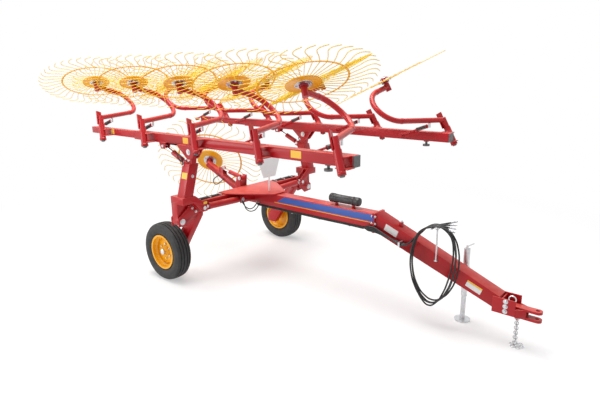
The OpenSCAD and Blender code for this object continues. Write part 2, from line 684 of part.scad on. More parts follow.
module document_tube() color(black) {
    canister_d = 84;
    z = frame_top + 40 + canister_d / 2;
    translate([1660, 0, z]) rotate([0, 90, 0]) cylinder(h = 380, d = canister_d);
    for (x = [1730, 1950]) translate([x, -25, frame_top]) cube([20, 50, 50]);
}
module warning_panel() color(zinc) {
    rod_x = 735;
    panel_z = frame_top + gusset_t + 320;
    translate([rod_x, 0, frame_top + gusset_t]) cylinder(h = 470, d = 18);
    plate_yz(rod_x + 5, 5, [[-100, panel_z - 150], [100, panel_z - 150], [175, panel_z + 40], [120, panel_z + 160],
        [-120, panel_z + 160], [-175, panel_z + 40]]);
}
module hose_holder() color(zinc) {
    rod_d = 16;
    top = hose_route[4];
    under = 1.14 * (hose_d + rod_d) / 2;
    foot_z = 640;
    hook = [top.x, -frame_w / 2 - rod_d / 2 - seat_gap, top.z - under];
    bar([hook.x, hook.y, foot_z], hook, rod_d);
    bar(hook, [hook.x, hose_clamp_y - 140, hook.z], rod_d);
    // Clamp where the hoses leave the drawbar
    translate([hose_route[0].x - 20, hose_clamp_y - 75, hose_route[0].z - 25])
        cube([20 - seat_gap, 75 + hose_clamp_y * -1 - frame_w / 2 - seat_gap, 50]);
}
// Hoses held along the frame and past the flange to the clamp
module hose_run() color(black) for (k = [0:3]) {
    y = -frame_w / 2 - hose_d / 2 - seat_gap;
    z = frame_top - frame_h + 25 + (hose_d + 2) * k;
    past = -frame_w / 2 - 25 - hose_d - 2;
    first = fold_cyl_x + 70;
    last = [hose_route[0].x - 20 - seat_gap, hose_y(k, 0), hose_route[0].z];
    turn_in = [drawbar_root + 8, past, z];
    bar([first, y, z], [frame_front - 60, y, z], hose_d);
    bar([frame_front - 64, y, z], [frame_front - 8, past, z], hose_d);
    bar([frame_front - 12, past, z], [drawbar_root + 12, past, z], hose_d);
    bar(turn_in, last + 4 * unit(turn_in - last), hose_d);
}
function hose_points(k) = [for (p = hose_route) [p.x, hose_y(k, p.y), p.z]];
module hose(k) color(black) swept_tube(hose_points(k), hose_d, hose_sides);
module hose_couplers() color(zinc) for (k = [0:3]) {
    p = hose_points(k);
    last = len(p) - 1;
    v = unit(p[last] - p[last - 1]);
    bar(p[last] + v * seat_gap, p[last] + v * 60, hose_d);
}
module link(ring_r, wire_r) rotate_extrude($fn = 24) translate([ring_r, 0]) circle(r = wire_r, $fn = 16);
module safety_chain() color(zinc) {
    ring_r = 17;
    wire_r = 5;
    most = 2 * (ring_r - wire_r) + 1;
    x = drawbar_front + 140;
    first_z = hitch_z - hitch_gap / 2 - 24 - ring_r - wire_r - seat_gap;
    lying_z = wire_r + 1.5;
    last_z = lying_z + ring_r + 1.8 * wire_r;
    hanging = ceil((first_z - last_z) / most);
    step = (first_z - last_z) / hanging;
    for (k = [0:hanging]) translate([x, 0, first_z - step * k]) rotate([90, 0, 90 * (k % 2)]) link(ring_r, wire_r);
    // Links that lie on the ground, one in the middle and six round it
    apart = 2 * (ring_r + wire_r) - 1;
    translate([x + ring_r, 0, lying_z]) link(ring_r, wire_r);
    for (k = [0:5]) translate([x + ring_r, 0, lying_z] + apart * [cos(60 * k), sin(60 * k), 0]) link(ring_r, wire_r);
}

// Jack

module jack_tube() color(zinc) {
    difference() {
        union() {
            translate([jack_x, jack_y, jack_tube_low]) cylinder(h = jack_tube_top - jack_tube_low, d = jack_d);
            translate([jack_x, jack_y - jack_d / 2 - 6, jack_pivot_z]) rotate([-90, 0, 0]) cylinder(h = 30, d = 76);
        }
        translate([jack_x, jack_y, jack_tube_low - 1])
            cylinder(h = jack_tube_top - jack_tube_low - 40, d = jack_leg_d + 1);
        translate([jack_x, jack_y - jack_d, jack_pivot_z]) rotate([-90, 0, 0])
            cylinder(h = jack_d - 1, d = jack_pin_d + pin_fit);
    }
    bar([jack_x, jack_y, jack_tube_top], [jack_x, jack_y, jack_tube_top + 30], 20);
    bar([jack_x, jack_y, jack_tube_top + 20], [jack_x + 20, jack_y + 110, jack_tube_top + 20], 14);
}
module jack_leg() color(zinc) {
    translate([jack_x, jack_y, 10]) cylinder(h = jack_tube_low + 160, d = jack_leg_d);
    translate([jack_x, jack_y, 0]) cylinder(h = 14, d = jack_foot_d);
}

// Everything is drawn about the axle and moved to the model's origin
module at_origin() translate([-origin_x, 0, 0]) children();

at_origin() main_frame();
at_origin() top_gusset();
at_origin() drawbar();
at_origin() hitch_clevis();
at_origin() side_arm_right();
at_origin() side_arm_left();
at_origin() wheel_leg_right();
at_origin() wheel_leg_left();
at_origin() kicker_mount();
at_origin() document_tube();
at_origin() warning_panel();
at_origin() hose_holder();
at_origin() hose_run();
at_origin() hose(0);  // hose_1
at_origin() hose(1);  // hose_2
at_origin() hose(2);  // hose_3
at_origin() hose(3);  // hose_4
at_origin() hose_couplers();
at_origin() safety_chain();
at_origin() jack_tube();
at_origin() jack_leg();
at_origin() rim_right();
at_origin() tyre_right();
at_origin() rim_left();
at_origin() tyre_left();
at_origin() post_right();
at_origin() post_left();
at_origin() fold_barrel_right();
at_origin() fold_rod_right();
at_origin() fold_barrel_left();
at_origin() fold_rod_left();
at_origin() beam_right();
at_origin() beam_left();
at_origin() swing_barrel_right();
at_origin() swing_rod_right();
at_origin() swing_barrel_left();
at_origin() swing_rod_left();
at_origin() rake_arms_right();
at_origin() rake_arms_left();
at_origin() arm_springs_right();
at_origin() arm_springs_left();
at_origin() rake_wheel_right(0);  // rake_wheel_right_1
at_origin() rake_wheel_right(1);  // rake_wheel_right_2
at_origin() rake_wheel_right(2);  // rake_wheel_right_3
at_origin() rake_wheel_right(3);  // rake_wheel_right_4
at_origin() rake_wheel_right(4);  // rake_wheel_right_5
at_origin() rake_wheel_left(0);  // rake_wheel_left_1
at_origin() rake_wheel_left(1);  // rake_wheel_left_2
at_origin() rake_wheel_left(2);  // rake_wheel_left_3
at_origin() rake_wheel_left(3);  // rake_wheel_left_4
at_origin() rake_wheel_left(4);  // rake_wheel_left_5
at_origin() kicker_arm();
at_origin() kicker_barrel();
at_origin() kicker_rod();
at_origin() kicker_wheel();
at_origin() beam_trim_right();
at_origin() beam_trim_left();
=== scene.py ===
# %% [markdown]
# # A carted wheel rake, folded for the road
# This lesson dresses a hay rake that was built as solids. The solids give every place and size;
# Blender adds rounded edges, wire tines, tread, bolts, springs, hoses and paint. We begin by opening
# the frame and reading the axle's place from the right rim's box.

# %% Open the frame
import json
import math
import bmesh
import bpy
from mathutils import Matrix, Vector


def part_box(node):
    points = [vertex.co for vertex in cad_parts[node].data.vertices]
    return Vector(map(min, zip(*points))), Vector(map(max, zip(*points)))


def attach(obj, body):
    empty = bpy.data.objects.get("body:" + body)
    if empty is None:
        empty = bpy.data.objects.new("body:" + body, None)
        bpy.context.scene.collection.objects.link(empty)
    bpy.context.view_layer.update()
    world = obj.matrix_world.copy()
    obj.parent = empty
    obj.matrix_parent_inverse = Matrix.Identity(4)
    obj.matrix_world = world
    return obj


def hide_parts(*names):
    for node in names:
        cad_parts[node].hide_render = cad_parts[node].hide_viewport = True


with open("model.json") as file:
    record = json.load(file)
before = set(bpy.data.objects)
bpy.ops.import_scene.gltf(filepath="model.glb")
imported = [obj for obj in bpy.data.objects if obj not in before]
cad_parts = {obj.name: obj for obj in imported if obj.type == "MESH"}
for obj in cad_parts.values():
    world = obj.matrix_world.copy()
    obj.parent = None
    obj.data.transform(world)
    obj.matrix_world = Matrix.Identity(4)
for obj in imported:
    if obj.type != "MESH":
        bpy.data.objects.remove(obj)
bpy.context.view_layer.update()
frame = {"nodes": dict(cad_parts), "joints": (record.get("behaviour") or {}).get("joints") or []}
rim_low, rim_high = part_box("rim_right")
AXLE_X = (rim_low.x + rim_high.x) / 2
SIDES = (("right", -1), ("left", 1))
MIRROR = Matrix.Diagonal((1, -1, 1, 1))
X, Y = Vector((1, 0, 0)), Vector((0, 1, 0))


def spot(x, y, z):
    """A place given in millimetres from the axle, in the frame's metres."""
    return Vector((AXLE_X + x / 1000, y / 1000, z / 1000))


# %% [markdown]
# ## Camera
# The photograph was taken from the right front, a little above the beams. The camera's place came from
# fitting a pinhole camera to it, with the road tyre's diameter for scale.

# %% Set the camera
AZIMUTH, ELEVATION, ROLL = (math.radians(a) for a in (40.2446, 14.4236, -0.6967))
CAMERA_PLACE = spot(4825.9, -4262.0, 2382.4)
back = Vector((math.sin(AZIMUTH) * math.cos(ELEVATION), -math.cos(AZIMUTH) * math.cos(ELEVATION),
               math.sin(ELEVATION)))
level = Vector((math.cos(AZIMUTH), math.sin(AZIMUTH), 0))
rise = back.cross(level)
right = level * math.cos(ROLL) + rise * math.sin(ROLL)
up = rise * math.cos(ROLL) - level * math.sin(ROLL)
lens = bpy.data.cameras.new("camera")
lens.lens, lens.sensor_width = 30, 36
lens.clip_end = 200
camera = bpy.data.objects.new("camera", lens)
bpy.context.collection.objects.link(camera)
turn = Matrix((right, up, back)).transposed().to_4x4()
camera.matrix_world = Matrix.Translation(CAMERA_PLACE) @ turn
bpy.context.scene.camera = camera
print("camera at", [round(c, 3) for c in camera.matrix_world.translation])

# %% [markdown]
# ## Working tools
# Every piece below is a bmesh that ends up in one object at the origin. `piece` makes that object,
# gives it its finishes and lets it ride on a body of the frame.

# %% Finished pieces
def piece(name, bm, body, materials, smooth=40, replaces=()):
    """One finished object from a bmesh, riding on a body of the frame."""
    mesh = bpy.data.meshes.new(name)
    bm.to_mesh(mesh)
    bm.free()
    for m in materials:
        mesh.materials.append(m)
    obj = bpy.data.objects.new(name, mesh)
    bpy.context.collection.objects.link(obj)
    mesh.shade_smooth()
    mesh.set_sharp_from_angle(angle=math.radians(smooth))
    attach(obj, body)
    if replaces:
        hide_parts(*replaces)
    return obj


def facing(place, direction):
    """Puts local Z along a direction at a place, turned as the solids are."""
    d = Vector(direction).normalized()
    about = Matrix.Rotation(math.atan2(d.y, d.x), 4, "Z") @ Matrix.Rotation(math.acos(d.z), 4, "Y")
    return Matrix.Translation(place) @ about


def to_left(bm):
    """Turns a right-hand bmesh into the left-hand one."""
    bmesh.ops.transform(bm, matrix=MIRROR, verts=bm.verts)
    bmesh.ops.reverse_faces(bm, faces=bm.faces)


print("pieces can be made, turned and mirrored")

# %% [markdown]
# Three ways of making shapes cover nearly everything: a profile turned about an axis, a prism such as a
# bolt head, and a tube drawn along a line of points.

# %% Shapes
BROKEN_ANGLE = 1.0  # radians; a prism's rims are steeper, and so are a hexagon's corners


def revolve(bm, profile, matrix=Matrix(), steps=48, material=0, closed=False):
    """Turns a profile of (radius, height) pairs all the way round local Z."""
    verts = [bm.verts.new((r, 0, z)) for r, z in profile]
    ring = list(zip(verts, verts[1:])) + ([(verts[-1], verts[0])] if closed else [])
    edges = [bm.edges.new(pair) for pair in ring]
    before = set(bm.faces)
    bmesh.ops.spin(bm, geom=verts + edges, cent=(0, 0, 0), axis=(0, 0, 1), angle=2 * math.pi, steps=steps,
                   use_merge=True)
    points = list({v for f in bm.faces if f not in before for v in f.verts})
    bmesh.ops.remove_doubles(bm, verts=points, dist=1e-6)
    made = [f for f in bm.faces if f not in before]
    bmesh.ops.recalc_face_normals(bm, faces=made)
    for f in made:
        f.material_index = material
    bmesh.ops.transform(bm, matrix=matrix, verts=list({v for f in made for v in f.verts}))


def prism(bm, radius, height, matrix, sides=6, material=0, bevel=0.0):
    """A bolt head, washer or pin along local Z, with a broken edge."""
    before = set(bm.faces)
    made = bmesh.ops.create_cone(bm, cap_ends=True, segments=sides, radius1=radius, radius2=radius,
                                 depth=height, matrix=matrix @ Matrix.Translation((0, 0, height / 2)))
    if bevel:
        around = {e for v in made["verts"] for e in v.link_edges}
        edges = [e for e in around if e.calc_face_angle(0) > BROKEN_ANGLE]
        bmesh.ops.bevel(bm, geom=edges, offset=bevel, segments=1, affect="EDGES", profile=0.5, material=-1)
    for f in set(bm.faces) - before:
        f.material_index = material


def block(bm, size, matrix, bevel=0.002, material=0):
    """A box about a matrix's origin with broken edges."""
    before = set(bm.faces)
    made = bmesh.ops.create_cube(bm, size=1, matrix=matrix @ Matrix.Diagonal((*size, 1)))
    edges = list({e for v in made["verts"] for e in v.link_edges})
    if bevel:
        bmesh.ops.bevel(bm, geom=edges, offset=bevel, segments=2, affect="EDGES", profile=0.5, material=-1)
    for f in set(bm.faces) - before:
        f.material_index = material


def tube(bm, points, radius, sides=10, material=0):
    """A round bar along points, with a frame that is carried from ring to ring."""
    points = [Vector(p) for p in points]
    across = None
    rings = []
    for i, p in enumerate(points):
        ahead = (points[min(i + 1, len(points) - 1)] - points[max(i - 1, 0)]).normalized()
        across = (across or ahead.orthogonal()) - ahead * (across or ahead.orthogonal()).dot(ahead)
        across.normalize()
        over = ahead.cross(across)
        rings.append([bm.verts.new(p + radius * (math.cos(a) * across + math.sin(a) * over))
                      for a in (2 * math.pi * k / sides for k in range(sides))])
    made = [bm.faces.new(list(reversed(rings[0]))), bm.faces.new(rings[-1])]
    for a, b in zip(rings, rings[1:]):
        made += [bm.faces.new((a[k], a[(k + 1) % sides], b[(k + 1) % sides], b[k])) for k in range(sides)]
    for f in made:
        f.material_index = material


print("shapes: revolve, prism, block, tube")

# %% [markdown]
# From these come a soft line through points, the bright end of a pin and a bolt on its washer.

# %% Soft lines and fasteners
WASHER_HEIGHT, HEAD_HEIGHT = 0.0025, 0.010


def smooth_line(points, steps):
    """Points on a soft curve through the given ones."""
    points = [Vector(p) for p in points]
    ends = [2 * points[0] - points[1]] + points + [2 * points[-1] - points[-2]]
    out = []
    for a, b, c, d in zip(ends, ends[1:], ends[2:], ends[3:]):
        for t in (k / steps for k in range(steps)):
            square = (2 * a - 5 * b + 4 * c - d) * t * t
            cube = (3 * b - a - 3 * c + d) * t ** 3
            out.append(0.5 * (2 * b + (c - a) * t + square + cube))
    return out + [points[-1]]


def pin_end(bm, place, direction, radius, height, washer=0.0):
    """The bright end of a pin: a washer, the pin's side and a chamfered face."""
    at = facing(place, direction)
    if washer:
        rim = [(radius, 0), (washer, 0), (washer, 0.003), (washer - 0.001, 0.004), (radius, 0.004)]
        revolve(bm, rim, at, steps=32)
    cup = [(radius, 0), (radius, height - 0.002), (radius - 0.002, height), (0.004, height),
           (0.003, height - 0.001), (0, height - 0.001)]
    revolve(bm, cup, at, steps=32)


def bolt(bm, place, direction, size=0.012):
    """A washer and a hexagon head."""
    at = facing(place, direction)
    prism(bm, size * 1.45, WASHER_HEIGHT, at, sides=24)
    head = at @ Matrix.Translation((0, 0, WASHER_HEIGHT))
    prism(bm, size, HEAD_HEIGHT, head, bevel=0.001)


print("tools ready")

# %% [markdown]
# ## Finishes
# Shader maths reads best as plain sums. The small class below wraps one socket of a node tree, so
# that `0.4 + mask * 0.6` adds the Math nodes by itself, and one method makes any other node.

# %% A socket that does sums
class Wire:
    """One output socket of a node tree."""

    def __init__(self, tree, out):
        self.tree, self.out = tree, out

    def make(self, kind, settings=None, inputs=None, out=0):
        node = self.tree.nodes.new(kind)
        for key, value in (settings or {}).items():
            setattr(node, key, value)
        for key, value in (inputs or {}).items():
            self.feed(node.inputs[key], value)
        return Wire(self.tree, node.outputs[out])

    def feed(self, socket, value):
        if isinstance(value, Wire):
            self.tree.links.new(value.out, socket)
        else:
            socket.default_value = value

    def math(self, operation, first, second=0.0, clamp=False):
        return self.make("ShaderNodeMath", {"operation": operation, "use_clamp": clamp}, {0: first, 1: second})

    def __add__(self, other): return self.math("ADD", self, other)
    def __radd__(self, other): return self.math("ADD", other, self)
    def __sub__(self, other): return self.math("SUBTRACT", self, other)
    def __mul__(self, other): return self.math("MULTIPLY", self, other)
    def __rmul__(self, other): return self.math("MULTIPLY", other, self)
    def __gt__(self, other): return self.math("GREATER_THAN", self, other)
    def __lt__(self, other): return self.math("LESS_THAN", self, other)
    def __abs__(self): return self.math("ABSOLUTE", self)

    def noise(self, scale, detail=2.0, roughness=0.5):
        inputs = {"Vector": self, "Scale": scale, "Detail": detail, "Roughness": roughness}
        return self.make("ShaderNodeTexNoise", None, inputs)

    def ramp(self, low, high):
        """0 below the low value, 1 above the high one."""
        return self.make("ShaderNodeMapRange", {"clamp": True}, {"Value": self, "From Min": low, "From Max": high})

    def mix(self, first, second):
        """Colour between two, this socket being the share of the second."""
        return self.make("ShaderNodeMix", {"data_type": "RGBA"}, {"Factor": self, 6: first, 7: second}, out=2)

    def axis(self, name):
        return self.make("ShaderNodeSeparateXYZ", None, {0: self}, out="XYZ".index(name))


def finish(name, roughness=0.4, metallic=0.0, coat=0.0):
    """A new material, its shader node and its Object coordinates."""
    m = bpy.data.materials.new(name)
    m.use_nodes = True
    shader = m.node_tree.nodes["Principled BSDF"]
    shader.inputs["Roughness"].default_value = roughness
    shader.inputs["Metallic"].default_value = metallic
    shader.inputs["Coat Weight"].default_value = coat
    place = Wire(m.node_tree, m.node_tree.nodes.new("ShaderNodeTexCoord").outputs["Object"])
    return m, shader, place


def bump(place, height, strength, distance):
    return place.make("ShaderNodeBump", None, {"Strength": strength, "Distance": distance, "Height": height})


print("Wire joins sockets with + - * > <")

# %% [markdown]
# The enamel is one bright red. Real sprayed enamel has a faint orange peel and slightly duller patches, so colour,
# gloss and bump each get their own noise. Faces that look up are painted lighter in noisy patches, a painted top
# light mixed with a little dust, and are made a little rougher there.
# The frame box also carries a blue band over a gold line, which start with a slanted end.

# %% Red and yellow enamel
RED = (0.43, 0.0040, 0.008, 1)
RED_DEEP = (0.36, 0.0030, 0.007, 1)
# The lighter salmon colour for upward faces is painted top light, mixed with a little dust
DUST_AND_TOP_LIGHT = (0.78, 0.22, 0.16, 1)
BLUE, BLUE_WORN = (0.030, 0.085, 0.36, 1), (0.30, 0.36, 0.52, 1)
GOLD = (0.80, 0.33, 0.05, 1)
FRAME_SIDE = 0.0745  # just inside the box's half width
STRIPE_START, STRIPE_MIDDLE, STRIPE_SLANT = spot(985, 0, 0).x, 0.93, 1.6
BAND_LOW, BAND_HIGH = 0.893, 0.966
LINE_LOW, LINE_HIGH, LINE_LEAD = 0.879, 0.888, 0.03


def enamel(name, base, deep, dust_and_top_light, dust_and_light_share=0.40, stripe=False):
    m, shader, place = finish(name, coat=0.06)
    shader.inputs["Coat Roughness"].default_value = 0.06
    shader.inputs["Specular IOR Level"].default_value = 0.36
    cloud = place.noise(2.3, 4.0)
    colour = cloud.ramp(0.35, 0.75).mix(base, deep)
    upward = place.make("ShaderNodeTexCoord", out="Normal").axis("Z")
    # Painted top light: faces that look up are mixed towards the lighter colour in noisy patches and made a little
    # rougher
    dust_and_top_light_mask = upward.ramp(0.55, 1.0) * place.noise(14.0, 5.0).ramp(0.15, 0.65)
    colour = (dust_and_top_light_mask * dust_and_light_share).mix(colour, dust_and_top_light)
    if stripe:
        colour = side_stripe(place, colour)
    place.feed(shader.inputs["Base Color"], colour)
    place.feed(shader.inputs["Roughness"], 0.26 + 0.16 * cloud + dust_and_top_light_mask * (0.3 * dust_and_light_share))
    peel = place.noise(420.0, 2.0)
    place.feed(shader.inputs["Normal"], bump(place, peel, 0.06, 0.0006))
    return m


def side_stripe(place, colour):
    """The blue band with its gold line, painted on both sides of the frame box."""
    x, z = place.axis("X"), place.axis("Z")
    on_side = abs(place.axis("Y")) > FRAME_SIDE
    lean = x - (z - STRIPE_MIDDLE) * STRIPE_SLANT
    band = on_side * (lean > STRIPE_START) * (z > BAND_LOW) * (z < BAND_HIGH)
    line = on_side * (lean > STRIPE_START - LINE_LEAD) * (z > LINE_LOW) * (z < LINE_HIGH)
    scuff = place.noise(60.0, 4.0).ramp(0.70, 0.80)
    blue = (scuff * 0.15).mix(BLUE, BLUE_WORN)
    return line.mix(band.mix(colour, blue), GOLD)


red = enamel("red_enamel", RED, RED_DEEP, DUST_AND_TOP_LIGHT)
red_striped = enamel("red_enamel_striped", RED, RED_DEEP, DUST_AND_TOP_LIGHT, stripe=True)
yellow = enamel("yellow_enamel", (0.84, 0.40, 0.006, 1), (0.79, 0.34, 0.005, 1), (0.85, 0.58, 0.22, 1),
                dust_and_light_share=0.10)
tine_yellow = enamel("tine_enamel", (0.80, 0.54, 0.018, 1), (0.76, 0.48, 0.013, 1), (0.82, 0.60, 0.18, 1),
                     dust_and_light_share=0.06)
hub_red = enamel("hub_enamel", (0.30, 0.0030, 0.012, 1), (0.22, 0.0020, 0.010, 1), (0.40, 0.10, 0.09, 1),
                 dust_and_light_share=0.10)
print("enamels:", red.name, yellow.name, tine_yellow.name)

# %% [markdown]
# Bright zinc is not chrome: it is a soft grey metal with cloudy spangles. Rods are smooth hard chrome,
# rubber is nearly black with a dusty bloom, and the canister is moulded plastic.

# %% Metals, rubber and plastic
def metal(name, colour, dark, roughness, grain):
    m, shader, place = finish(name, metallic=1.0)
    cloud = place.noise(grain, 5.0, 0.6)
    place.feed(shader.inputs["Base Color"], cloud.ramp(0.3, 0.7).mix(colour, dark))
    place.feed(shader.inputs["Roughness"], roughness + 0.16 * cloud)
    place.feed(shader.inputs["Normal"], bump(place, place.noise(grain * 9, 2.0), 0.05, 0.0004))
    return m


def soft_black(name, colour, bloom, roughness, grain):
    m, shader, place = finish(name)
    cloud = place.noise(grain / 12, 5.0)
    place.feed(shader.inputs["Base Color"], cloud.ramp(0.40, 0.80).mix(colour, bloom))
    place.feed(shader.inputs["Roughness"], roughness + 0.2 * cloud)
    place.feed(shader.inputs["Normal"], bump(place, place.noise(grain, 3.0), 0.25, 0.0005))
    return m


def decal(name, colour, worn):
    m, shader, place = finish(name, roughness=0.35)
    place.feed(shader.inputs["Base Color"], place.noise(90.0, 4.0).ramp(0.45, 0.8).mix(colour, worn))
    place.feed(shader.inputs["Normal"], bump(place, place.noise(300.0, 2.0), 0.04, 0.0003))
    return m


zinc = metal("bright_zinc", (0.72, 0.72, 0.73, 1), (0.50, 0.51, 0.53, 1), 0.28, 40.0)
coupler_steel = metal("coupler_steel", (0.34, 0.34, 0.36, 1), (0.24, 0.24, 0.26, 1), 0.30, 50.0)
spring_steel = metal("spring_steel", (0.16, 0.15, 0.15, 1), (0.09, 0.09, 0.09, 1), 0.34, 60.0)
chrome = metal("hard_chrome", (0.80, 0.81, 0.83, 1), (0.70, 0.71, 0.74, 1), 0.10, 25.0)
tyre_rubber = soft_black("tyre_rubber", (0.018, 0.018, 0.019, 1), (0.045, 0.043, 0.042, 1), 0.60, 260.0)
hose_rubber = soft_black("hose_rubber", (0.005, 0.005, 0.006, 1), (0.014, 0.014, 0.015, 1), 0.42, 420.0)
black_plastic = soft_black("black_plastic", (0.016, 0.016, 0.018, 1), (0.040, 0.040, 0.042, 1), 0.34, 320.0)
grey_plastic = soft_black("grey_plastic", (0.10, 0.10, 0.105, 1), (0.17, 0.17, 0.175, 1), 0.40, 320.0)
grey_sheet = decal("grey_sheet", (0.76, 0.80, 0.82, 1), (0.70, 0.74, 0.76, 1))
amber = decal("amber_patch", (0.88, 0.50, 0.03, 1), (0.80, 0.43, 0.04, 1))
label_grey = decal("grey_patch", (0.72, 0.70, 0.69, 1), (0.62, 0.60, 0.59, 1))
print("metals, rubbers and patches ready")

# %% [markdown]
# ## Welded steel
# Solids have knife edges, but rolled tube and flame-cut plate do not. Each big red solid is copied, its
# triangles are merged to flat faces, and its long outer edges get a small round that catches the light.

# %% Rounded copies of the red solids
LONG_EDGE, SHARP_ANGLE = 0.02, 0.7
TUBE_ROUND, PLATE_ROUND = 0.0035, 0.003
TUBES = ("drawbar", "side_arm_right", "side_arm_left", "wheel_leg_right", "wheel_leg_left", "post_right",
         "post_left", "beam_right", "beam_left", "kicker_arm")
PLATES = ("hitch_clevis", "kicker_mount", "top_gusset")


def rounded(node, material, width):
    bm = bmesh.new()
    bm.from_mesh(frame["nodes"][node].data)
    bmesh.ops.remove_doubles(bm, verts=bm.verts, dist=1e-5)
    bmesh.ops.dissolve_limit(bm, angle_limit=math.radians(1), verts=bm.verts, edges=bm.edges)
    bmesh.ops.recalc_face_normals(bm, faces=bm.faces)
    edges = [e for e in bm.edges if e.is_manifold and e.calc_length() > LONG_EDGE
             and e.calc_face_angle_signed(0) > SHARP_ANGLE]
    bmesh.ops.bevel(bm, geom=edges, offset=width, segments=2, affect="EDGES", profile=0.5, material=-1,
                    clamp_overlap=False)
    moving = node.startswith(("post", "beam", "kicker_arm"))
    piece(f"welded_{node}", bm, node if moving else "chassis", [material], replaces=[node])


for node in TUBES:
    rounded(node, red, TUBE_ROUND)
for node in PLATES:
    rounded(node, red, PLATE_ROUND)
rounded("main_frame", red_striped, TUBE_ROUND)
print("rounded solids:", len(TUBES) + len(PLATES) + 1)

# %% [markdown]
# Cylinders, rake arms, rims and small fittings keep their solids and only get a finish.

# %% Finishes of the solids that stay
STAYS = {
    red: ["fold_barrel_right", "fold_barrel_left", "swing_barrel_right", "swing_barrel_left", "rake_arms_right",
          "rake_arms_left", "kicker_barrel"],
    yellow: ["rim_right", "rim_left"],
    zinc: ["hose_holder", "safety_chain", "jack_tube", "jack_leg"],
    chrome: ["fold_rod_right", "fold_rod_left", "swing_rod_right", "swing_rod_left", "kicker_rod"],
    grey_plastic: ["beam_trim_right", "beam_trim_left"],
    grey_sheet: ["warning_panel"],
}
for material, nodes in STAYS.items():
    for node in nodes:
        data = frame["nodes"][node].data
        data.materials.clear()
        data.materials.append(material)
print("solids finished:", sum(len(n) for n in STAYS.values()))

# %% [markdown]
# ## Hoses
# A hose is a curve with a round section. It rides on a body like any other piece.


def hose_curve(name, points, radius, body, material, replaces=()):
    """A hose through points, riding on a body of the frame."""
    curve = bpy.data.curves.new(name, "CURVE")
    curve.dimensions = "3D"
    curve.bevel_depth, curve.bevel_resolution, curve.resolution_u, curve.use_fill_caps = radius, 3, 6, True
    spline = curve.splines.new("BEZIER")
    spline.bezier_points.add(len(points) - 1)
    for p, co in zip(spline.bezier_points, points):
        p.co, p.handle_left_type, p.handle_right_type = co, "AUTO", "AUTO"
    curve.materials.append(material)
    obj = bpy.data.objects.new(name, curve)
    bpy.context.collection.objects.link(obj)
    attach(obj, body)
    if replaces:
        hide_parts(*replaces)
    return obj


print("hoses can be drawn")

# %% [markdown]
# Four hydraulic hoses leave the clamp on the drawbar, go once round a hanging loop over the holder's hook
# and end in their couplers. They follow the route of the solids they replace. Each has its own drop and
# is drawn in by its own measure, so that no two hang alike, and their ends fan out.

# %% Hanging hoses
HOSE_RADIUS = 0.0078
HOSE_START, HOSE_PITCH, LOOP_TURN = -91, 16, 64
# Distance forward, share of the loop's turn to the side, height
ROUTE = [(2605, 0, 745), (2640, 0, 745), (2790, 0, 890), (2865, 0, 970), (2950, 0, 1005), (3040, 0.05, 985),
         (3120, 0.1, 915), (3170, 0.2, 800), (3185, 0.3, 660), (3170, 0.4, 510), (3125, 0.45, 370),
         (3055, 0.5, 265), (2960, 0.55, 215), (2865, 0.6, 260), (2790, 0.65, 370), (2745, 0.7, 520),
         (2740, 0.8, 670), (2770, 0.9, 820), (2840, 1, 950), (2950, 1, 1005), (3040, 1, 1030), (3110, 1, 1036)]
LOOP_FIRST, LOOP_LAST = 5, 18
LOOP_MIDDLE, FRONT_REACH, REAR_REACH = 2860, 325, 330
DROP = (0, 24, 52, 12)
DRAW_IN = (0, 42, 78, 20)
FAN, FAN_SHARE = (30, 10, -10, -30), (0.0, 0.35, 1.0)
TIP_GAP = 0.0003
COUPLER = [(0, 0), (0.0068, 0), (0.0068, 0.016), (0.0058, 0.018), (0.0058, 0.024), (0.0070, 0.026),
           (0.0070, 0.044), (0.0055, 0.046), (0.0055, 0.056), (0.0045, 0.0585), (0, 0.0585)]
for k in range(4):
    line = []
    for i, (x, share, z) in enumerate(ROUTE):
        loose = LOOP_FIRST < i < LOOP_LAST
        slack = math.sin(math.pi * (i - LOOP_FIRST) / (LOOP_LAST - LOOP_FIRST)) if loose else 0
        shift = DRAW_IN[k] * slack * ((LOOP_MIDDLE - x) / (FRONT_REACH if x > LOOP_MIDDLE else REAR_REACH))
        if i > LOOP_LAST:
            lift = FAN[k] * FAN_SHARE[i - LOOP_LAST - 1]
        else:
            lift = (max(DROP) - DROP[k]) * slack ** 4
        line.append(spot(x + shift, HOSE_START - HOSE_PITCH * k - LOOP_TURN * share, z + lift))
    hose = hose_curve(f"hose_line_{k + 1}", line, HOSE_RADIUS, "chassis", hose_rubber,
                      [f"hose_{k + 1}"])
    ahead = (line[-1] - line[-2]).normalized()
    bm = bmesh.new()
    revolve(bm, COUPLER, facing(line[-1] + ahead * TIP_GAP, ahead), 20)
    tip = piece(f"hose_tip_{k + 1}", bm, "chassis", [coupler_steel], replaces=["hose_couplers"])

# %% [markdown]
# Short hoses lead to the cylinders.

# %% Short hoses
SHORT_RADIUS = 0.006
SHORT = []
for k, low in enumerate((780, 752)):
    SHORT.append((f"fold_hose_right_{k + 1}", "chassis", "hanging",
                  [(600 + 30 * k, -82, 842), (610 + 26 * k, -112, low + 40), (600 + 18 * k, -185, low),
                   (584 + 12 * k, -258, low + 34), (566 + 6 * k, -286, 862 + 18 * k),
                   (554, -292, 880 + 18 * k)]))
for side, s in SIDES:
    SHORT.append((f"head_hose_{side}", f"post_{side}", "loose",
                  [(404, s * 991, 1446), (366, s * 1008, 1466), (350, s * 1016, 1500), (368, s * 1020, 1528),
                   (402, s * 1021, 1516), (428, s * 1022, 1472), (440, s * 1021, 1423)]))
SHORT.append(("kicker_hose", "kicker_arm", "hanging",
              [(-40, -40, 1044), (-84, -62, 1000), (-146, -70, 962), (-206, -66, 966), (-226, -60, 1004),
               (-186, -50, 1046), (-120, -40, 1082)]))
for name, body, lay, points in SHORT:
    line = [spot(*p) for p in points]
    hose = hose_curve(name, line, SHORT_RADIUS, body, hose_rubber)
print("short hoses:", len(SHORT))

# %% [markdown]
# More hoses are held by clips all along, so they are plain bars: three on top of each side arm, and four
# that run under the frame's lower edge, pass the flange and reach the clamp on the drawbar.

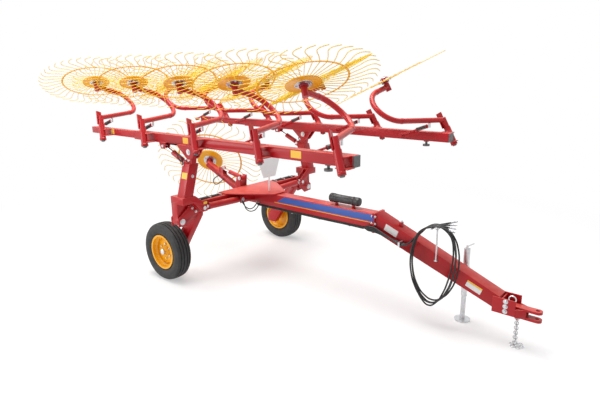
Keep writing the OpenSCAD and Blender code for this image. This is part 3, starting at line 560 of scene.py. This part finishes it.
# %% Held hoses
ARM_HOSE_RADIUS, ARM_HOSE_Z = 0.007, 982.2
CLAMP_Z, CLAMP_SHARE = 745, 0.22
for side, s in SIDES:
    bm = bmesh.new()
    for k in range(3):
        x = 350 + 20 * k
        run = [spot(x + 4 * math.sin(2.1 * k + y / 90), s * -y, ARM_HOSE_Z) for y in range(-860, -435, 20)]
        tube(bm, run, ARM_HOSE_RADIUS, sides=12)
    for y in (-800, -640, -480):
        block(bm, (0.072, 0.018, 0.003), Matrix.Translation(spot(370, s * -y, 991)), 0.001, material=1)
        for x in (333, 407):
            block(bm, (0.004, 0.018, 0.016), Matrix.Translation(spot(x, s * -y, 983.5)), 0.001, material=1)
    piece(f"arm_hoses_{side}", bm, "chassis", [hose_rubber, zinc])
bm = bmesh.new()
for k in range(4):
    y, z, past = -66 + 18 * (k % 2), 817 - 15 * (k // 2), 806 + 15 * k
    run = [(585, y, 825), (590, y, (825 + z) / 2), (606, y, z + 2), (640, y, z)]
    run += [(x, y, z - 2 * (x // 300 % 2)) for x in range(700, 2120, 200)]
    run += [(2130, y - 6, z), (2170, (y - 112) / 2, (z + past) / 2), (2212, -110, past), (2240, -116, past),
            (2292, -116, past)]
    run += [(2360, -109 - 4 * k, past * 0.78 + CLAMP_Z * CLAMP_SHARE), (2581, HOSE_START - HOSE_PITCH * k, 746)]
    tube(bm, smooth_line([spot(*p) for p in run], 3), HOSE_RADIUS, sides=12)
for x in (760, 1160, 1560, 1960):
    block(bm, (0.020, 0.050, 0.003), Matrix.Translation(spot(x, -57, 793)), 0.001, material=1)
    block(bm, (0.020, 0.003, 0.034), Matrix.Translation(spot(x, -33, 808)), 0.001, material=1)
piece("frame_hoses", bm, "chassis", [hose_rubber, zinc], replaces=["hose_run"])
print("held hoses: 10")

# %% [markdown]
# ## Rake wheels
# A rake wheel is a pressed disc on a hub, a flat ring and bent wire tines. One tine is drawn as a line of
# points and spun round; disc, ring and hub are turned profiles.

# %% One rake wheel
TINES, TINE_RADIUS = 40, 0.0036
TINE_LINE = [(0.110, 0.0), (0.424, 0.0), (0.525, -5.6), (0.610, -9.2), (0.665, -7.6), (0.700, -2.5)]
RING = [(0.411, 0.0030), (0.429, 0.0030), (0.430, 0.0040), (0.429, 0.0070), (0.411, 0.0070), (0.410, 0.0040)]
DISC = [(0.082, -0.0045), (0.164, -0.0045), (0.169, -0.0075), (0.171, -0.004), (0.171, 0.004),
        (0.169, 0.005), (0.120, 0.005), (0.112, 0.008), (0.082, 0.008)]
CENTRE = [(0.044, -0.008), (0.084, -0.008), (0.085, -0.006), (0.085, 0.0085), (0.084, 0.0095),
          (0.044, 0.0095)]
HUB = [(0.0176, -0.030), (0.043, -0.030), (0.045, -0.028), (0.045, 0.028), (0.043, 0.030), (0.0176, 0.030)]
AXLE_NUT = [(0, 0.0305), (0.034, 0.0305), (0.034, 0.034), (0.028, 0.036), (0.026, 0.044), (0, 0.0448)]
WHEEL_FINISHES = [tine_yellow, zinc, yellow, hub_red]
BRIGHT, DISC_PAINT, HUB_PAINT = 1, 2, 3


def rake_wheel():
    bm = bmesh.new()
    bends = [(r * math.cos(math.radians(a)), r * math.sin(math.radians(a)), 0) for r, a in TINE_LINE]
    tube(bm, [bends[0]] + smooth_line(bends[1:], 5), TINE_RADIUS, sides=7)
    step = 2 * math.pi / TINES
    bmesh.ops.spin(bm, geom=list(bm.verts) + list(bm.edges) + list(bm.faces), cent=(0, 0, 0), axis=(0, 0, 1),
                   angle=step * (TINES - 1), steps=TINES - 1, use_duplicate=True)
    revolve(bm, RING, steps=80, closed=True, material=DISC_PAINT)
    revolve(bm, DISC, steps=48, closed=True, material=DISC_PAINT)
    revolve(bm, CENTRE, steps=48, closed=True, material=BRIGHT)
    revolve(bm, HUB, steps=48, closed=True, material=HUB_PAINT)
    revolve(bm, AXLE_NUT, steps=24, material=BRIGHT)
    # Bolts of the disc, clips on the ring
    for k in range(6):
        at = Matrix.Rotation(math.radians(60 * k), 4, "Z") @ Matrix.Translation((0.065, 0, 0.0095))
        prism(bm, 0.011, 0.008, at, material=BRIGHT, bevel=0.001)
        prism(bm, 0.011, 0.008, at @ Matrix.Translation((0, 0, -0.026)), material=BRIGHT, bevel=0.001)
    for k in range(TINES):
        at = Matrix.Rotation(step * k, 4, "Z") @ Matrix.Translation((0.420, 0, 0.0080))
        block(bm, (0.012, 0.014, 0.003), at, bevel=0, material=DISC_PAINT)
    return bm


model_wheel = rake_wheel()
print("one rake wheel,", len(model_wheel.faces), "faces")

# %% [markdown]
# The finished wheel is copied to every axle. It is mirrored for the left wing and for the kicker wheel,
# whose tines sweep the other way.

# %% Wheels on their axles
wheel_joints = [j for j in frame["joints"] if j["name"].endswith("_spin") and not j["name"].startswith("road")]
for joint in wheel_joints:
    body = joint["child"]
    place, axle = Vector(joint["pos_m"]), Vector(joint["axis"])
    bm = model_wheel.copy()
    if "left" in body:
        bmesh.ops.transform(bm, matrix=facing(MIRROR @ place, MIRROR @ axle), verts=bm.verts)
        to_left(bm)
    else:
        if body == "kicker_wheel":
            to_left(bm)
        bmesh.ops.transform(bm, matrix=facing(place, axle), verts=bm.verts)
    piece(f"tined_{body}", bm, body, WHEEL_FINISHES, smooth=50, replaces=[body])
model_wheel.free()
print("rake wheels:", len(wheel_joints))

# %% [markdown]
# ## Road wheels
# The tyres are ribbed implement tyres: a few wide ribs with grooves between them and a plain side wall.
# The tread is part of the profile that is turned, so the ribs run all the way round.

# %% Tyres and wheel nuts
HALF_TRACK, AXLE_HEIGHT = 1000, 345
SEAT_R, FLANGE_R = 0.190, 0.206
HALF_TYRE = [(SEAT_R + 0.0004, 0.070), (FLANGE_R + 0.006, 0.073), (FLANGE_R + 0.018, 0.086),
             (FLANGE_R + 0.040, 0.0955), (0.262, 0.0990), (0.266, 0.1000), (0.280, 0.1000), (0.284, 0.0990),
             (0.300, 0.096), (0.316, 0.089), (0.322, 0.089), (0.324, 0.086), (0.331, 0.078), (0.338, 0.068),
             (0.339, 0.062), (0.329, 0.060), (0.329, 0.052), (0.3415, 0.050), (0.344, 0.032), (0.344, 0.028),
             (0.330, 0.026), (0.330, 0.018), (0.345, 0.016)]
HUB_CAP = [(0, 0.0605), (0.036, 0.0605), (0.038, 0.063), (0.036, 0.080), (0.028, 0.086), (0, 0.087)]
for side, s in SIDES:
    outward = facing(spot(0, s * HALF_TRACK, AXLE_HEIGHT), (0, s, 0))
    bm = bmesh.new()
    revolve(bm, HALF_TYRE + [(r, -z) for r, z in reversed(HALF_TYRE)], outward, steps=96)
    piece(f"ribbed_tyre_{side}", bm, f"road_wheel_{side}", [tyre_rubber], smooth=35,
          replaces=[f"tyre_{side}"])
    bm = bmesh.new()
    for k in range(6):
        turn = Matrix.Rotation(math.radians(60 * k), 4, "Z") @ Matrix.Translation((0.088, 0, 0.022))
        prism(bm, 0.013, 0.016, outward @ turn, bevel=0.0015)
    revolve(bm, HUB_CAP, outward, steps=32)
    # The valve
    prism(bm, 0.004, 0.030, outward @ Matrix.Translation((0.150, 0, 0.020)), sides=10)
    piece(f"wheel_nuts_{side}", bm, f"road_wheel_{side}", [zinc])
print("tyres", 2 * len(HALF_TYRE), "profile points")

# %% [markdown]
# ## Float springs
# Under every rake arm a rod runs back to the beam. Its spring is a real helix, drawn along a screw line
# round the rod, between two collars; the rod's foot is a boss on the beam's inner side.

# %% Spring rods
ARMS, ARM_PITCH, ARM_FIRST = 5, 914, -1203
ARM_Y, ARM_Z, FOOT_BACK, FOOT_Z = -1010, 1845, 420, 1670
RUN = Vector((-0.369, 0.928, 0.032)).normalized()
ROD_RADIUS = 0.0115
COIL_RADIUS, COIL_STEPS, SPRING_TURNS, SPRING_LENGTH = 0.0185, 14, 9, 0.116
COLLAR = [(ROD_RADIUS, 0), (0.022, 0), (0.023, 0.001), (0.023, 0.007), (0.022, 0.008), (ROD_RADIUS, 0.008)]
BOSS = [(0, 0), (0.022, 0), (0.022, 0.050), (0.020, 0.052), (0, 0.052)]
HEAD_PIN = [(0, 0), (0.014, 0), (0.015, 0.001), (0.015, 0.0492), (0, 0.0492)]
for side, _ in SIDES:
    bm = bmesh.new()
    for i in range(ARMS):
        x, inner = ARM_PITCH * i + ARM_FIRST, -870 if i == 0 else -860
        foot = spot(x - FOOT_BACK, inner + 30, FOOT_Z)
        head = spot(x, ARM_Y, ARM_Z) + RUN * 0.205 - Vector((0, 0, 0.0565))
        ahead = (head - foot).normalized()
        at = facing(foot, ahead)
        reach = (head - foot).length
        tube(bm, [foot, head], ROD_RADIUS, sides=16)
        for h in (reach - 0.158, reach - 0.034):
            revolve(bm, COLLAR, at @ Matrix.Translation((0, 0, h)), steps=24)
        angles = [2 * math.pi * k / COIL_STEPS for k in range(COIL_STEPS * SPRING_TURNS + 1)]
        coil = [at @ Vector((COIL_RADIUS * math.cos(a), COIL_RADIUS * math.sin(a),
                             reach - 0.150 + SPRING_LENGTH * a / (2 * math.pi * SPRING_TURNS))) for a in angles]
        tube(bm, coil, 0.0036, sides=6, material=1)
        revolve(bm, BOSS, facing(spot(x - FOOT_BACK, inner, FOOT_Z), (0, 1, 0)), steps=28)
        revolve(bm, HEAD_PIN, Matrix.Translation(head - Vector((0, 0, 0.022))), steps=24, material=2)
    if side == "left":
        to_left(bm)
    node = f"arm_springs_{side}"
    piece(f"float_{node}", bm, f"beam_{side}", [red, spring_steel, zinc], replaces=[node])
print("spring rods:", 2 * ARMS)

# %% [markdown]
# ## Hardware
# Pins, nuts and bolts are bright zinc. They are gathered in one piece for each body, so that the ones on a
# post or beam fold with it. Pin ends sit as cups on the ends of the solids' pins.

# %% Bolts and pins of the chassis
HOOK_FOOT = [(0.0085, 0), (0.016, 0), (0.018, 0.002), (0.018, 0.012), (0.016, 0.014), (0.0085, 0.014)]
bm = bmesh.new()
for s in (-1, 1):
    # Flange bolts, fold pins, base pins of the fold cylinders
    for z in (806, 880, 954):
        bolt(bm, spot(2250, s * 88, z), -X)
        bolt(bm, spot(2282, s * 88, z), X)
    pin_end(bm, spot(456, s * 1090, 800), X, 0.0223, 0.0112, washer=0.034)
    pin_end(bm, spot(314, s * 1090, 800), -X, 0.0223, 0.0112, washer=0.034)
    pin_end(bm, spot(544, s * 262, 905), X, 0.0153, 0.0095, washer=0.024)
    pin_end(bm, spot(474, s * 262, 905), -X, 0.0153, 0.0095, washer=0.024)
    # Kicker mount, hitch and knuckle
    for x, z in ((220, 925), (268, 1090)):
        pin_end(bm, spot(x, s * 54, z), s * Y, 0.0153, 0.0095, washer=0.024)
    for z in (428, 382, 336):
        bolt(bm, spot(3612, s * 87, z), s * Y, 0.015)
    for y, z in ((-950, 930), (-905, 880)):
        bolt(bm, spot(456, s * -y, z), X, 0.011)
# Ends of the short hoses at the right fold cylinder
for x, z in ((600, 842), (630, 842)):
    prism(bm, 0.009, 0.014, facing(spot(x, -75, z), -Y), bevel=0.001)
for z in (880, 898):
    prism(bm, 0.009, 0.014, facing(spot(544, -292, z), X), bevel=0.001)
# Stub on the drawbar, shackle ring at the hitch, tie round the hoses, foot of the hose hook
block(bm, (0.036, 0.036, 0.066), Matrix.Translation(spot(2529, 0, 897)), 0.003, material=1)
pin_end(bm, spot(2529, 0, 930), (0, 0, 1), 0.014, 0.016, washer=0.021)
angles = [math.pi * k / 16 for k in range(-3, 20)]
tube(bm, [spot(3664 + 30 * math.cos(a), -77, 462 + 30 * math.sin(a)) for a in angles], 0.006, sides=12)
angles = [math.pi * k / 16 for k in range(33)]
tube(bm, [spot(2992, -147 + 72 * math.cos(a), 1004 + 21 * math.sin(a)) for a in angles], 0.0035, sides=8)
revolve(bm, HOOK_FOOT, Matrix.Translation(spot(2950, -83.2, 640)), steps=24)
piece("chassis_hardware", bm, "chassis", [zinc, red])
print("chassis hardware ready")

# %% [markdown]
# The hitch narrows from its bolted cheeks to the lugs. Each side is a five-cornered plan, raised.

# %% Tapered sides of the hitch
TAPER = [(3697, 87), (3697, 66), (3770, 40.2), (3778, 40.2), (3772, 47)]
TAPER_LOW, TAPER_HEIGHT = 296, 0.082
bm = bmesh.new()
for s in (-1, 1):
    low = [bm.verts.new(spot(x, s * y, TAPER_LOW)) for x, y in TAPER]
    face = bm.faces.new(low if s > 0 else low[::-1])
    risen = bmesh.ops.extrude_face_region(bm, geom=[face])["geom"]
    corners = [v for v in risen if isinstance(v, bmesh.types.BMVert)]
    bmesh.ops.translate(bm, vec=(0, 0, TAPER_HEIGHT), verts=corners)
bmesh.ops.recalc_face_normals(bm, faces=bm.faces)
bmesh.ops.bevel(bm, geom=bm.edges, offset=0.002, segments=1, affect="EDGES", profile=0.5, material=-1)
piece("hitch_sides", bm, "chassis", [red])
print("hitch sides ready")

# %% [markdown]
# Each post carries its lever and head pins, each beam its pivot pins and the nuts under the rake arms'
# spindles. The right post also has three blank patches, which the photograph shows.

# %% Bolts and pins of the wings
LEAN = Vector((-0.387, 0.211, 0.897)).normalized()
SPINDLE_END = [(0.0228, 0.028), (0.0228, 0.0405), (0.020, 0.0425), (0, 0.0425)]
for side, _ in SIDES:
    bm = bmesh.new()
    pin_end(bm, spot(549, -850, 925), X, 0.0233, 0.0065)
    for y, d in ((-983, -Y), (-917, Y)):
        pin_end(bm, spot(386, y, 1435), d, 0.019, 0.0035)
    bolt(bm, spot(540, -982, 1304), X, 0.013)
    prism(bm, 0.010, 0.010, facing(spot(440, -1013, 1420), (0, -0.961, 0.275)), bevel=0.001)
    prism(bm, 0.010, 0.010, facing(spot(404, -983, 1446), -Y), bevel=0.001)
    if side == "left":
        to_left(bm)
    else:
        lean = Matrix.Translation(spot(484, -1045.4, 1312)) @ Matrix.Rotation(-math.atan2(100, 349), 4, "X")
        block(bm, (0.088, 0.0014, 0.066), lean, 0, material=1)
        block(bm, (0.0012, 0.050, 0.028), Matrix.Translation(spot(549.4, -838, 982)), 0, material=1)
        oval = Matrix.Rotation(math.radians(45), 4, "Z") @ Matrix.Diagonal((1, 1.7, 1, 1))
        prism(bm, 0.019, 0.0012, facing(spot(494, -981, 1484), -Y) @ oval, sides=32, material=2)
    piece(f"post_hardware_{side}", bm, f"post_{side}", [zinc, amber, label_grey])
    bm = bmesh.new()
    for y, d in ((-1001, -Y), (-899, Y)):
        pin_end(bm, spot(520, y, 1565), d, 0.0203, 0.0130, washer=0.032)
    for y, d in ((-986, -Y), (-914, Y)):
        pin_end(bm, spot(40, y, 1590), d, 0.017, 0.005)
    for i in range(ARMS):
        low = spot(ARM_PITCH * i + ARM_FIRST, ARM_Y, ARM_Z) - LEAN * 0.2702
        at = facing(low, -LEAN)
        prism(bm, 0.041, 0.0284, at, bevel=0.003, material=2)
        revolve(bm, SPINDLE_END, at, steps=28, material=1)
    if side == "left":
        to_left(bm)
    piece(f"beam_hardware_{side}", bm, f"beam_{side}", [zinc, spring_steel, red])
print("wing hardware ready")

# %% [markdown]
# ## Fittings
# The canister for papers is a plastic tube with a screwed lid on two red saddles.

# %% Canister
CANISTER_Z = 1050
CANISTER = [(0, 0.002), (0.036, 0.0), (0.044, 0.004), (0.0485, 0.012), (0.0485, 0.062), (0.0460, 0.064),
            (0.0450, 0.066), (0.0450, 0.330), (0.0470, 0.333), (0.0470, 0.366), (0.043, 0.376), (0.034, 0.380),
            (0, 0.378)]
STRAP = [(0.0452, -0.009), (0.0470, -0.009), (0.0470, 0.009), (0.0452, 0.009)]
GRIPS = 24
bm = bmesh.new()
at = facing(spot(1660, 0, CANISTER_Z), X)
revolve(bm, CANISTER, at, steps=48)
for k in range(GRIPS):
    grip = Matrix.Rotation(math.radians(360 / GRIPS * k), 4, "Z") @ Matrix.Translation((0.0482, 0, 0.036))
    block(bm, (0.0022, 0.0030, 0.044), at @ grip, 0)
for x in (1740, 1960):
    block(bm, (0.020, 0.050, 0.004), Matrix.Translation(spot(x, 0, 977)), 0.001, material=1)
    block(bm, (0.020, 0.036, 0.032), Matrix.Translation(spot(x, 0, 994)), 0.002, material=1)
    revolve(bm, STRAP, facing(spot(x, 0, CANISTER_Z), X), steps=48, closed=True)
piece("paper_canister", bm, "chassis", [black_plastic, red], replaces=["document_tube"])
print("canister ready")

# %% [markdown]
# Patches that carry words on the real machine are left blank: thin amber and grey plates.

# %% Blank patches
PATCH_DEPTH = 0.0012
BEAM_PATCH_Z, DRAWBAR_FACE = 1676, -75.2
DRAWBAR_FALL = math.atan2(-504, 1275)


def patch(bm, x, y, z, width, height, slope=0.0, material=0):
    """A thin plate on a face that looks to the side, its long edge along the slope."""
    at = Matrix.Translation(spot(x, y, z)) @ Matrix.Rotation(-slope, 4, "Y")
    block(bm, (width, PATCH_DEPTH, height), at, 0, material)


bm = bmesh.new()
for x, y, size in ((1990, -960.2, 0.120), (430, -960.2, 0.090), (-1062, -950.2, 0.080)):
    patch(bm, x, y, BEAM_PATCH_Z, size, 0.066)
piece("beam_patches", bm, "beam_right", [amber])
bm = bmesh.new()
patch(bm, 3320, DRAWBAR_FACE, 470, 0.150, 0.048, DRAWBAR_FALL, material=1)
patch(bm, 3331, DRAWBAR_FACE, 498, 0.150, 0.016, DRAWBAR_FALL)
patch(bm, 2460, DRAWBAR_FACE, 842, 0.150, 0.070, DRAWBAR_FALL, material=1)
piece("drawbar_patches", bm, "chassis", [amber, label_grey])
print("patches ready")

# %% [markdown]
# ## Studio
# The rake stands on a white floor that fades into a white surround. Near the rake the floor takes shadows;
# further out it glows by itself.

# %% Floor
FADE_FROM, FADE_TO = 2.2, 6.0
GLOW_NEAR, GLOW_MORE = 0.40, 0.60
m, shader, place = finish("studio_floor", roughness=0.80)
shader.inputs["Base Color"].default_value = (0.95, 0.95, 0.95, 1)
shader.inputs["Specular IOR Level"].default_value = 0.2
x, y = place.axis("X"), place.axis("Y")
away = place.math("SQRT", x * x + y * y)
glow = place.make("ShaderNodeEmission", None, {"Color": (1, 1, 1, 1), "Strength": 1.0})
lit = Wire(m.node_tree, shader.outputs[0])
share = GLOW_NEAR + GLOW_MORE * away.ramp(FADE_FROM, FADE_TO)
joined = place.make("ShaderNodeMixShader", None, {0: share, 1: lit, 2: glow})
m.node_tree.links.new(joined.out, m.node_tree.nodes["Material Output"].inputs["Surface"])
bm = bmesh.new()
bmesh.ops.create_grid(bm, x_segments=1, y_segments=1, size=60)
mesh = bpy.data.meshes.new("floor")
bm.to_mesh(mesh)
bm.free()
mesh.materials.append(m)
floor = bpy.data.objects.new("floor", mesh)
floor.location.z = -0.002
bpy.context.collection.objects.link(floor)
print("floor ready")

# %% [markdown]
# The surround is full white where the camera or a reflection sees it and dimmer as a light. A wide soft box
# above and one from the left of the camera do the rest, so that upward faces are light and the front faces
# stay deep red.

# %% Surround and lamps
WORLD_LIGHT, WORLD_SEEN = 0.42, 0.58
world = bpy.data.worlds.new("surround")
bpy.context.scene.world = world
world.use_nodes = True
sky = world.node_tree.nodes["Background"]
start = Wire(world.node_tree, world.node_tree.nodes.new("ShaderNodeLightPath").outputs["Is Camera Ray"])
seen = start.math("ADD", start, start.make("ShaderNodeLightPath", out="Is Glossy Ray"), clamp=True)
seen = start.math("ADD", seen, start.make("ShaderNodeLightPath", out="Is Transmission Ray"), clamp=True)
start.feed(sky.inputs["Color"], (1, 1, 1, 1))
start.feed(sky.inputs["Strength"], WORLD_LIGHT + seen * WORLD_SEEN)


def soft_box(name, place, target, size, power):
    data = bpy.data.lights.new(name, "AREA")
    data.shape, data.size, data.energy = "DISK", size, power
    lamp = bpy.data.objects.new(name, data)
    lamp.location = place
    lamp.rotation_mode = "QUATERNION"
    lamp.rotation_quaternion = (Vector(target) - Vector(place)).to_track_quat("-Z", "Y")
    bpy.context.collection.objects.link(lamp)


soft_box("soft_box_above", (-0.5, -0.5, 7.5), (0, 0, 0.8), 6.0, 800)
soft_box("soft_box_left", (-4.5, -7.0, 3.0), (0, 0, 1.2), 4.5, 240)
scene = bpy.context.scene
scene.view_settings.view_transform = "Standard"
print("studio ready")
